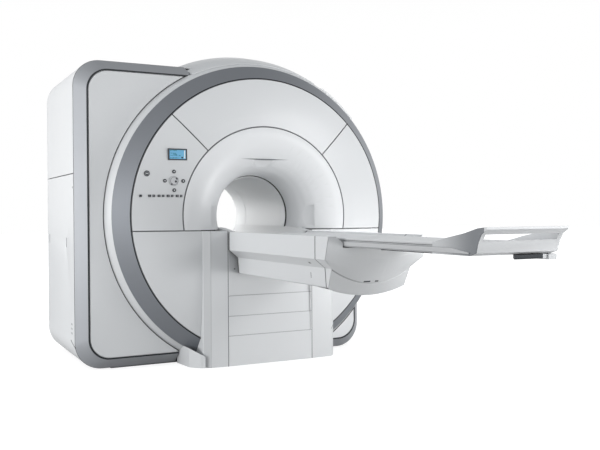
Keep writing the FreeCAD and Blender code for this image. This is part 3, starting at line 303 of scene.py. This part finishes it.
# ---- housing covers ----------------------------------------------------------
# Large moulded covers with a satin white paint, hung on the frame and parted by
# narrow open seams, with two finger grips low in the left wall.
cover_colour = (0.66, 0.672, 0.682)
faint_seam_and_shade = (0.22, 0.225, 0.235)
side_seam = 1.38
left_side = -1.2
lock_y, lock_z = 0.282, 1.284
louvre_y, louvre_z = 0.343, 0.285
slit_y, slit_rise, slit_height = 0.316, 0.3, 0.0887


def cover_paint(name, marks=None):
    return coated(name, cover_colour, 0.36, coat=0.12, marks=marks)


def axes(tree):
    """X, Y and Z of the surface's point."""
    return node_in(tree, "ShaderNodeSeparateXYZ", {0: surface_point(tree)}).outputs[:]


def near(tree, value, centre, half):
    """1 where a value lies within half of a centre."""
    return maths(tree, "COMPARE", value, centre, half)


def every_of(tree, *masks):
    """1 only where all the masks are."""
    product = masks[0]
    for mask in masks[1:]:
        product = maths(tree, "MULTIPLY", product, mask)
    return product


def slats(tree, value, pitch, gap):
    """Evenly spaced bars, each two pitches from the next."""
    return maths(tree, "LESS_THAN", maths(tree, "PINGPONG", value, pitch), gap)


def wall_marks(tree):
    """A lock's keyhole, a small louvre and a slanted slit near the front edge, and the cover's seam."""
    x, y, z = axes(tree)
    side = maths(tree, "LESS_THAN", x, left_side)
    lock = every_of(tree, side, near(tree, y, lock_y, 0.012), near(tree, z, lock_z, 0.006))
    louvre = every_of(tree, side, near(tree, y, louvre_y, 0.024), near(tree, z, louvre_z, 0.052),
                      slats(tree, z, 0.016, 0.007))
    slope = maths(tree, "MULTIPLY_ADD", y, slit_rise, slit_height)
    slit = every_of(tree, side, near(tree, z, slope, 0.0055), near(tree, y, slit_y, 0.066))
    seam = every_of(tree, side, near(tree, z, side_seam, 0.0035))
    return [(lock, (0.12, 0.125, 0.13)), (louvre, (0.36, 0.37, 0.38)), (slit, (0.06, 0.065, 0.07)),
            (seam, faint_seam_and_shade)]


wall_white = cover_paint("wall_paint", wall_marks)
for node in ("upper_side_cover", "lower_side_cover"):
    softened(node, wall_white)


rear_face, right_side = 1.285, 0.45
off_middle = 0.2            # the rear panels' middle lies this far left of the bore
joint_tone = (0.2, 0.205, 0.215)
joint_half = 0.0028
joint_reach, joint_height = 0.60, 0.22
screw_reach, screw_pitch = 0.63, 0.36
field_reach, field_height = 0.80, 0.42


def far_marks(tree):
    """Panel joints of the right and rear covers, screw heads, and two louvred fields low in the rear."""
    x, y, z = axes(tree)
    rear = maths(tree, "GREATER_THAN", y, rear_face)
    right = maths(tree, "GREATER_THAN", x, right_side)
    beside = maths(tree, "ABSOLUTE", maths(tree, "ADD", x, off_middle))
    louvre = every_of(tree, rear, near(tree, beside, field_reach, 0.13), near(tree, z, field_height, 0.14),
                      slats(tree, z, 0.014, 0.006))
    upright_joint = every_of(tree, rear, near(tree, beside, joint_reach, joint_half))
    side_joint = every_of(tree, near(tree, z, side_seam, joint_half), right)
    low_joint = every_of(tree, near(tree, z, joint_height, joint_half), rear)
    screw_rows = near(tree, maths(tree, "PINGPONG", z, screw_pitch), screw_pitch / 2, 0.007)
    heads = every_of(tree, rear, near(tree, beside, screw_reach, 0.007), screw_rows)
    return [(louvre, (0.16, 0.165, 0.17)), (upright_joint, joint_tone), (side_joint, joint_tone),
            (low_joint, joint_tone), (heads, (0.3, 0.305, 0.315))]


far_white = cover_paint("far_cover_paint", far_marks)
for node in ("right_side_cover", "rear_cover"):
    softened(node, far_white)

# ---- shield and its bezel ----------------------------------------------------
# Flat white shield beside the drum, moulded and painted as the covers. A slanted
# band in a satin silver-grey metallic paint frames it and joins it to them.
bore_height = 1.08          # the bore's axis above the floor, about which the seams are round
drum_seam = 1.1585
band_front, band_rear = 0.168, 0.2505
dark_line = (0.035, 0.038, 0.042)


def from_point(tree, x, z):
    """Distance in the face's plane from a point given by x and z."""
    flat = vector_maths(tree, "MULTIPLY", surface_point(tree), (1, 0, 1))
    return vector_maths(tree, "DISTANCE", flat, (x, 0, z))


seam_shade, given = shader_group(
    "seam_shade", [("Radius", "Float", -1.0), ("Second radius", "Float", -1.0), ("Level", "Float", -1.0),
                   ("Half width", "Float", 0.004)], [("Mask", "Float")])
from_bore = from_point(seam_shade, 0, bore_height)
height = axes(seam_shade)[2]
lips = [near(seam_shade, value, given[label], given["Half width"])
        for value, label in ((from_bore, "Radius"), (from_bore, "Second radius"), (height, "Level"))]
round_lips = maths(seam_shade, "MAXIMUM", lips[0], lips[1])
node_in(seam_shade, "NodeGroupOutput", {"Mask": maths(seam_shade, "MAXIMUM", round_lips, lips[2])})


def seam_mask(tree, **values):
    """Narrow shaded lips along round seams about the bore and along one level seam."""
    sockets = {label.replace("_", " ").capitalize(): value for label, value in values.items()}
    return node_in(tree, "ShaderNodeGroup", sockets, node_tree=seam_shade).outputs[0]


def silver_paint(name, colour, marks):
    return coated(name, colour, 0.46, metallic=0.55, grain_size=1500.0, grain=0.8, marks=marks)


def bezel_lines(tree):
    """Dark lines where the band meets the side covers and the shield."""
    depth = axes(tree)[1]
    return [(near(tree, depth, band_front, 0.0055), dark_line),
            (near(tree, depth, band_rear, 0.003), dark_line)]


silver_bezel = silver_paint("silver_bezel_paint", (0.43, 0.445, 0.47), bezel_lines)
shield_white = cover_paint("shield_paint", lambda tree: [
    (seam_mask(tree, radius=drum_seam, half_width=0.006), dark_line)])
for side in ("left", "right"):
    softened("shield_panel_" + side, shield_white)
    softened("shield_bezel_" + side, silver_bezel)

# ---- drum, its foot and the hood ---------------------------------------------
# White mouldings painted as the covers: the drum behind the accent ring, the block
# under it at the left of the pedestal, cut slanting below the ring's end, and the
# hood over the turret.
foot_cut = ((-0.512, 0.0, 0.083), (0.092, 0.0, 0.148))
cover_white = cover_paint("cover_paint")
for node in ("drum_shell", "hood"):
    softened(node, cover_white)
softened("drum_foot", cover_white, cut=foot_cut)

# ---- drum seal ---------------------------------------------------------------
# Dark rubber strip that closes the joint between the drum's rim and the right
# cover, bent round inside both and held by their flanges.
seal_radius = 1.122
seal_front, seal_rear = 0.184, 0.262
seal_start = math.radians(-52)
seal_sweep = math.radians(116)
seal_rubber = coated("seal_rubber", (0.055, 0.058, 0.063), 0.7, grain_size=300.0, grain=1.5)
strip = bmesh.new()
lower_end = Vector((math.cos(seal_start), 0.0, math.sin(seal_start))) * seal_radius
ends = [strip.verts.new(lower_end + Vector((0.0, depth, bore_height))) for depth in (seal_front, seal_rear)]
strip.edges.new(ends)
bmesh.ops.spin(strip, geom=strip.verts[:] + strip.edges[:], cent=(0, 0, bore_height), axis=(0, -1, 0),
               angle=seal_sweep, steps=58)
bmesh.ops.recalc_face_normals(strip, faces=strip.faces)
bmesh.ops.solidify(strip, geom=strip.faces[:], thickness=0.004)
seal_mesh = bpy.data.meshes.new("drum_seal")
strip.to_mesh(seal_mesh)
strip.free()
seal_mesh.materials.append(seal_rubber)
smooth_by_angle(seal_mesh)
seal = placed("drum_seal", seal_mesh)
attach(seal, "gantry")

# ---- accent ring -------------------------------------------------------------
# Conical moulded ring that leads from the face panels out to the drum, in a darker
# silver-grey metallic paint than the bezel.
ring_seam = 1.014
silver_ring = silver_paint("silver_ring_paint", (0.27, 0.285, 0.31), lambda tree: [
    (seam_mask(tree, radius=ring_seam + 0.0015, half_width=0.004), dark_line)])
softened("accent_ring", silver_ring)

# ---- face panels -------------------------------------------------------------
# Three domed panels round the flared entrance, moulded and painted as the covers.
# Two slanting seams part them, and a level one parts them from the lower covers.
seam_tone = (0.20, 0.205, 0.215)
funnel_seam = 0.6545
level_seam = 0.9755


def panel_lines(tree):
    """Shaded lips at the round seams, the level seam and the two slanting ones."""
    x, _, z = axes(tree)
    above = maths(tree, "SUBTRACT", z, bore_height)
    rims = seam_mask(tree, radius=ring_seam - 0.0015, second_radius=funnel_seam + 0.001, level=level_seam,
                     half_width=0.0048)
    return [(rims, seam_tone), (near(tree, maths(tree, "ABSOLUTE", x), above, 0.0065), seam_tone)]


panel_white = cover_paint("panel_paint", panel_lines)
for side in ("left", "top", "right"):
    softened("face_panel_" + side, panel_white)

# ---- flared entrance ---------------------------------------------------------
# One satin white moulding that runs from the face panels into the bore, with three
# shallow hand hollows let into its edge.
shelf_height = 1.4985
hollow_height, hollow_half = 1.4705, 0.0235
hollow_slope, hollow_start = 1.3, -1.843


def funnel_marks(tree):
    """The round seam, a painted shadow along the crease of the top hollow's shelf, and a painted highlight on
    the scooped face below it.
    """
    x, _, z = axes(tree)
    beside = maths(tree, "ABSOLUTE", x)
    # Painted shadow under the shelf, and a painted highlight in the hollow below it.
    crease_shade = every_of(tree, near(tree, z, shelf_height, 0.0035), ramp(tree, beside, 0.09, 0.20, 1.0, 0.0))
    half_width = maths(tree, "MULTIPLY_ADD", z, hollow_slope, hollow_start)
    inside = ramp(tree, maths(tree, "SUBTRACT", half_width, beside), -0.004, 0.014)
    hollow_highlight = every_of(tree, inside, near(tree, z, hollow_height, hollow_half))
    rim = seam_mask(tree, radius=funnel_seam - 0.001, level=level_seam, half_width=0.0035)
    return [(hollow_highlight, (0.84, 0.85, 0.86)), (crease_shade, faint_seam_and_shade), (rim, seam_tone)]


funnel_white = coated("funnel_paint", (0.75, 0.76, 0.77), 0.40, coat=0.08, marks=funnel_marks)
softened("bore_funnel", funnel_white, angle=50)

# ---- lower covers ------------------------------------------------------------
# Left and right covers, moulded and painted as the face panels, that carry on the
# dome below the table and fold over the pedestal.
pedestal_face = -0.05
dome_edge = 0.514
# The bevel's tone is painted shade that darkens the pedestal's slanted edge.
bevel_x, bevel_shade_tone = -0.488, (0.53, 0.54, 0.55)
niche_edge = 0.3365


def lower_lines(tree):
    """Painted shade on the pedestal's bevel, the lips at the ring and the level seam, and the edges beside
    the niche.
    """
    x, y, _ = axes(tree)
    beside = maths(tree, "ABSOLUTE", x)
    front = maths(tree, "LESS_THAN", y, pedestal_face)
    dome = maths(tree, "GREATER_THAN", beside, dome_edge)
    rim = seam_mask(tree, radius=ring_seam - 0.0015, half_width=0.004)
    return [(every_of(tree, near(tree, x, bevel_x, 0.024), front), bevel_shade_tone),
            (every_of(tree, rim, dome), seam_tone),
            (seam_mask(tree, level=level_seam, half_width=0.004), seam_tone),
            (every_of(tree, near(tree, beside, niche_edge, 0.006), front), seam_tone)]


lower_white = cover_paint("lower_cover_paint", lower_lines)
for side in ("left", "right"):
    softened("lower_cover_" + side, lower_white)

# ---- niche, skirt and lift ---------------------------------------------------
# Four painted sheets that telescope in front of the niche, held by its side
# guides, and behind them the lift's powder coated carriage and its two-stage
# steel ram.
steel = coated("brushed_steel", (0.45, 0.455, 0.46), 0.32, metallic=1.0, grain_size=900.0)
sheet_edges = (0.2175, 0.3585, 0.5045)
lip_tone = (0.40, 0.41, 0.42)
screw_x, screw_z = -0.283, 0.698


def skirt_marks(tree):
    """Shaded lips at the sheets' upper edges, and one dark screw head beside the arm."""
    x, _, z = axes(tree)
    screw = every_of(tree, near(tree, x, screw_x, 0.0055), near(tree, z, screw_z, 0.005))
    return [(screw, seam_tone)] + [(near(tree, z, edge, 0.0024), lip_tone) for edge in sheet_edges]


skirt_white = coated("skirt_paint", (0.70, 0.712, 0.722), 0.4, coat=0.08, marks=skirt_marks)
for node in ("niche_wall", "skirt_panel_fixed", "skirt_panel_lower", "skirt_panel_middle",
             "skirt_panel_upper"):
    dress(node, skirt_white)
dress("lift_carriage", powder_grey)
softened("ram_tube", steel)
softened("ram_stage", steel, body="ram_middle")
softened("ram_rod", steel, body="table_arm")

# ---- bridge ------------------------------------------------------------------
# Fixed channel of matt white composite that carries the tabletop from the arm
# through the bore. It stands on the niche wall and lies in the liner.
softened("bore_bridge", liner_white)

# ---- lifting arm -------------------------------------------------------------
# Long trough-shaped cover over two powder coated box beams, an end cap and the
# two-tier nose, all moulded and painted white, with steel rails in the trough.
rear_lip, cap_seam = -0.105, -1.387
slot_y, slot_z = -1.259, 0.806
hook_y, hook_z = -1.211, 0.729
nose_start = -1.4
catch_height = 0.7005
crease_height, crease_bow = 0.6885, 1.193


def arm_paint(name, marks):
    return coated(name, cover_colour, 0.34, coat=0.15, marks=marks)


def arm_lines(tree):
    """Shaded lips at the pedestal and at the end cap, and two small marks low on the near side."""
    x, y, z = axes(tree)
    near_side = maths(tree, "LESS_THAN", x, -0.25)
    slot = every_of(tree, near_side, near(tree, y, slot_y, 0.013), near(tree, z, slot_z, 0.005))
    hook = every_of(tree, near_side, near(tree, y, hook_y, 0.0045), near(tree, z, hook_z, 0.017))
    return [(near(tree, y, rear_lip, 0.013), dark_line), (near(tree, y, cap_seam, 0.0045), seam_tone),
            (slot, (0.12, 0.125, 0.13)), (hook, (0.25, 0.255, 0.265))]


arm_white = arm_paint("arm_paint", arm_lines)
for node in ("arm_cover", "arm_end_cap"):
    softened(node, arm_white, body="table_arm")


def nose_marks(tree):
    """Two small dark catches at the foot of the upper part, and painted shade along the bowed crease below
    it, fading out towards the right.
    """
    x, y, z = axes(tree)
    front = maths(tree, "LESS_THAN", y, nose_start)
    foot = near(tree, z, catch_height, 0.0042)
    catches = [(every_of(tree, front, near(tree, x, centre, half), foot), dark_line)
               for centre, half in ((-0.043, 0.022), (0.022, 0.012))]
    # Painted shade along the crease, fading out towards the right.
    unbowed = maths(tree, "MULTIPLY_ADD", maths(tree, "MULTIPLY", x, x), -crease_bow, z)
    fade = ramp(tree, x, -0.10, 0.16, 1.0, 0.0)
    crease_shade = every_of(tree, front, near(tree, unbowed, crease_height, 0.0035), fade)
    return catches + [(crease_shade, (0.42, 0.425, 0.435))]


nose_white = arm_paint("nose_paint", nose_marks)
for node in ("nose_upper", "nose_lower"):
    softened(node, nose_white, body="table_arm")
dress("arm_frame", powder_grey)
dress("drive_unit", powder_grey)
softened("arm_rails", steel, body="table_arm")

# ---- tabletop ----------------------------------------------------------------
# Composite board that slides on the rails, with accessory strips along its sides,
# the raised foot end and below it a dark fitting with a slanted left end.
fitting_cut = ((-0.02, -2.655, 0.89), (-0.095, 0.08, 0.0))
board_colour = (0.68, 0.69, 0.70)
fitting_colour = (0.03, 0.034, 0.04)
rail_flank, handle_flank = -0.25, -0.30
board_underside = 0.908
handle_start, handle_end = -2.35, -2.66
grip_face = -2.71
block_x, block_colour = 0.22, (0.66, 0.67, 0.68)


def board_lines(tree):
    """The strip's flank, the shadow below the board, and the grooves along its side."""
    x, _, z = axes(tree)
    grooves = [(near(tree, z, height, half), tone) for height, half, tone in (
        (0.9445, 0.0022, (0.16, 0.165, 0.17)), (0.9385, 0.0016, (0.30, 0.31, 0.32)),
        (0.9135, 0.0016, (0.24, 0.25, 0.26)))]
    return [(near(tree, x, rail_flank, 0.0115), (0.50, 0.505, 0.515)),
            (near(tree, z, board_underside, 0.0012), (0.05, 0.052, 0.056))] + grooves


def handle_painted_shade(tree):
    """Painted shade: the near flank is coloured darker grey, deepening towards the foot end."""
    x, y, _ = axes(tree)
    flank = near(tree, x, handle_flank, 0.0635)
    deeper = ramp(tree, y, handle_start, handle_end, 0.25, 1.0, course="SMOOTHSTEP")
    behind = maths(tree, "GREATER_THAN", y, grip_face)
    return [(every_of(tree, flank, deeper, behind), (0.19, 0.20, 0.215))]


board_grey = coated("composite_board", board_colour, 0.45, grain=0.8, marks=board_lines)
# The foot handle's material carries the painted shade of its near flank.
handle_grey_painted_shade = coated("handle_shell_painted_shade", board_colour, 0.42, grain=0.8, marks=handle_painted_shade)
fitting_dark = coated("dark_fitting", fitting_colour, 0.5)
end_mixed = coated("end_fitting_finish", fitting_colour, 0.5, marks=lambda tree: [
    (near(tree, axes(tree)[0], block_x, 0.055), block_colour)])
softened("tabletop", board_grey, body="patient_top")
softened("side_rails", board_grey, body="patient_top")
softened("foot_handle", handle_grey_painted_shade, body="patient_top")
softened("end_fitting", end_mixed, body="patient_top", cut=fitting_cut)
dress("board_runners", fitting_dark)

# ---- controls ----------------------------------------------------------------
# Display, stop button, jog dial with four arrow buttons, power key and four
# rocker keys, dark or grey mouldings let into the left face panel. Their places
# are x and z on the face.
button_colour = (0.03, 0.033, 0.04)
stop_x, stop_z = -0.903, 1.376
dial_x, dial_z = -0.716, 1.326
arrow_reach = 0.065
key_centres = (-0.8735, -0.8095, -0.746, -0.682)
key_height = 1.221
light_print = (0.6, 0.61, 0.62)


def stop_marks(tree):
    """A grey ring on the cap with a light bar across its middle."""
    x, _, z = axes(tree)
    ring = near(tree, from_point(tree, stop_x, stop_z), 0.0135, 0.0012)
    bar = every_of(tree, near(tree, x, stop_x, 0.009), near(tree, z, stop_z, 0.003))
    return [(ring, (0.3, 0.31, 0.32)), (bar, light_print)]


def dial_marks(tree):
    """A dark edge line and three dark dots, given by their distance from the dial's middle."""
    edge = near(tree, from_point(tree, dial_x, dial_z), 0.027, 0.0022)
    return [(edge, seam_tone)] + [
        (near(tree, from_point(tree, dial_x + dx, dial_z + dz), 0.0, radius), tone)
        for dx, dz, radius, tone in ((0.018, 0.016, 0.0075, (0.04, 0.042, 0.05)),
                                     (0.012, -0.004, 0.0085, (0.04, 0.042, 0.05)),
                                     (-0.018, -0.023, 0.0065, (0.06, 0.062, 0.07)))]


def key_marks(tree):
    """Light gaps between the halves of the rocker keys, and a light bar on each half."""
    x, _, z = axes(tree)
    gaps = [(near(tree, x, centre, 0.0042), (0.62, 0.63, 0.64)) for centre in key_centres]
    bars = [(every_of(tree, near(tree, x, centre + shift, 0.0016), near(tree, z, key_height, 0.0045)),
             (0.4, 0.41, 0.42)) for centre in key_centres for shift in (-0.014, 0.014)]
    return gaps + bars


def screen_marks(tree):
    """Title row, text rows and a scroll bar, drawn from blocks of generic dashes."""
    x, _, z = axes(tree)
    cells = node_in(tree, "ShaderNodeTexVoronoi", {"Vector": surface_point(tree), "Scale": 420.0,
                                                   "Randomness": 0.35}, feature="F1").outputs["Color"]
    filled = maths(tree, "GREATER_THAN", cells, 0.42)
    rows = [(every_of(tree, filled, near(tree, z, height, half),
                      near(tree, x, (start + end) / 2, (end - start) / 2)), (0.02, 0.19, 0.26))
            for height, half, start, end in (
                (1.539, 0.0042, -0.744, -0.694), (1.519, 0.0028, -0.738, -0.700),
                (1.511, 0.0045, -0.722, -0.692), (1.5035, 0.0026, -0.740, -0.662),
                (1.4875, 0.0026, -0.742, -0.676))]
    scroll_bar = every_of(tree, near(tree, x, -0.6365, 0.0042), near(tree, z, 1.513, 0.028))
    dot = near(tree, from_point(tree, -0.655, 1.490), 0.0, 0.0065)
    return rows + [(scroll_bar, (0.75, 0.85, 0.9)), (dot, (0.01, 0.012, 0.015))]


def arrow_marks(x, z, dx, dz):
    """Marks of one arrow button at x and z: a light triangle that points away from the dial."""
    def marks(tree):
        along = vector_maths(tree, "DOT_PRODUCT", surface_point(tree), (dx, 0, dz))
        aside = vector_maths(tree, "DOT_PRODUCT", surface_point(tree), (dz, 0, dx))
        reach = maths(tree, "SUBTRACT", along, x * dx + z * dz + 0.007)
        spread = maths(tree, "MULTIPLY", reach, -0.6)
        inside = maths(tree, "GREATER_THAN", reach, -0.011)
        return [(every_of(tree, near(tree, aside, x * dz + z * dx, spread), inside), light_print)]
    return marks


button_dark = coated("dark_buttons", button_colour, 0.4)
button_stop = coated("stop_cap", button_colour, 0.35, marks=stop_marks)
button_grey = coated("grey_dial", (0.52, 0.53, 0.545), 0.3, metallic=0.3, marks=dial_marks)
key_dark = coated("key_caps", button_colour, 0.4, marks=key_marks)
screen_blue = coated("screen_glass", (0.14, 0.44, 0.68), 0.12, coat=0.5, marks=screen_marks)
dress("display_bezel", button_dark)
dress("display_glass", screen_blue)
softened("stop_button", button_stop, body="stop", edge=0.002)
softened("jog_dial", button_grey, body="dial", edge=0.003)
for side, dx, dz in (("up", 0, 1), ("down", 0, -1), ("left", -1, 0), ("right", 1, 0)):
    cap = coated("arrow_cap_" + side, button_colour, 0.4,
                 marks=arrow_marks(dial_x + arrow_reach * dx, dial_z + arrow_reach * dz, dx, dz))
    softened("arrow_button_" + side, cap, body="arrow_" + side)
dress("power_key", button_dark)
for number in range(1, 5):
    dress("rocker_%d" % number, key_dark)
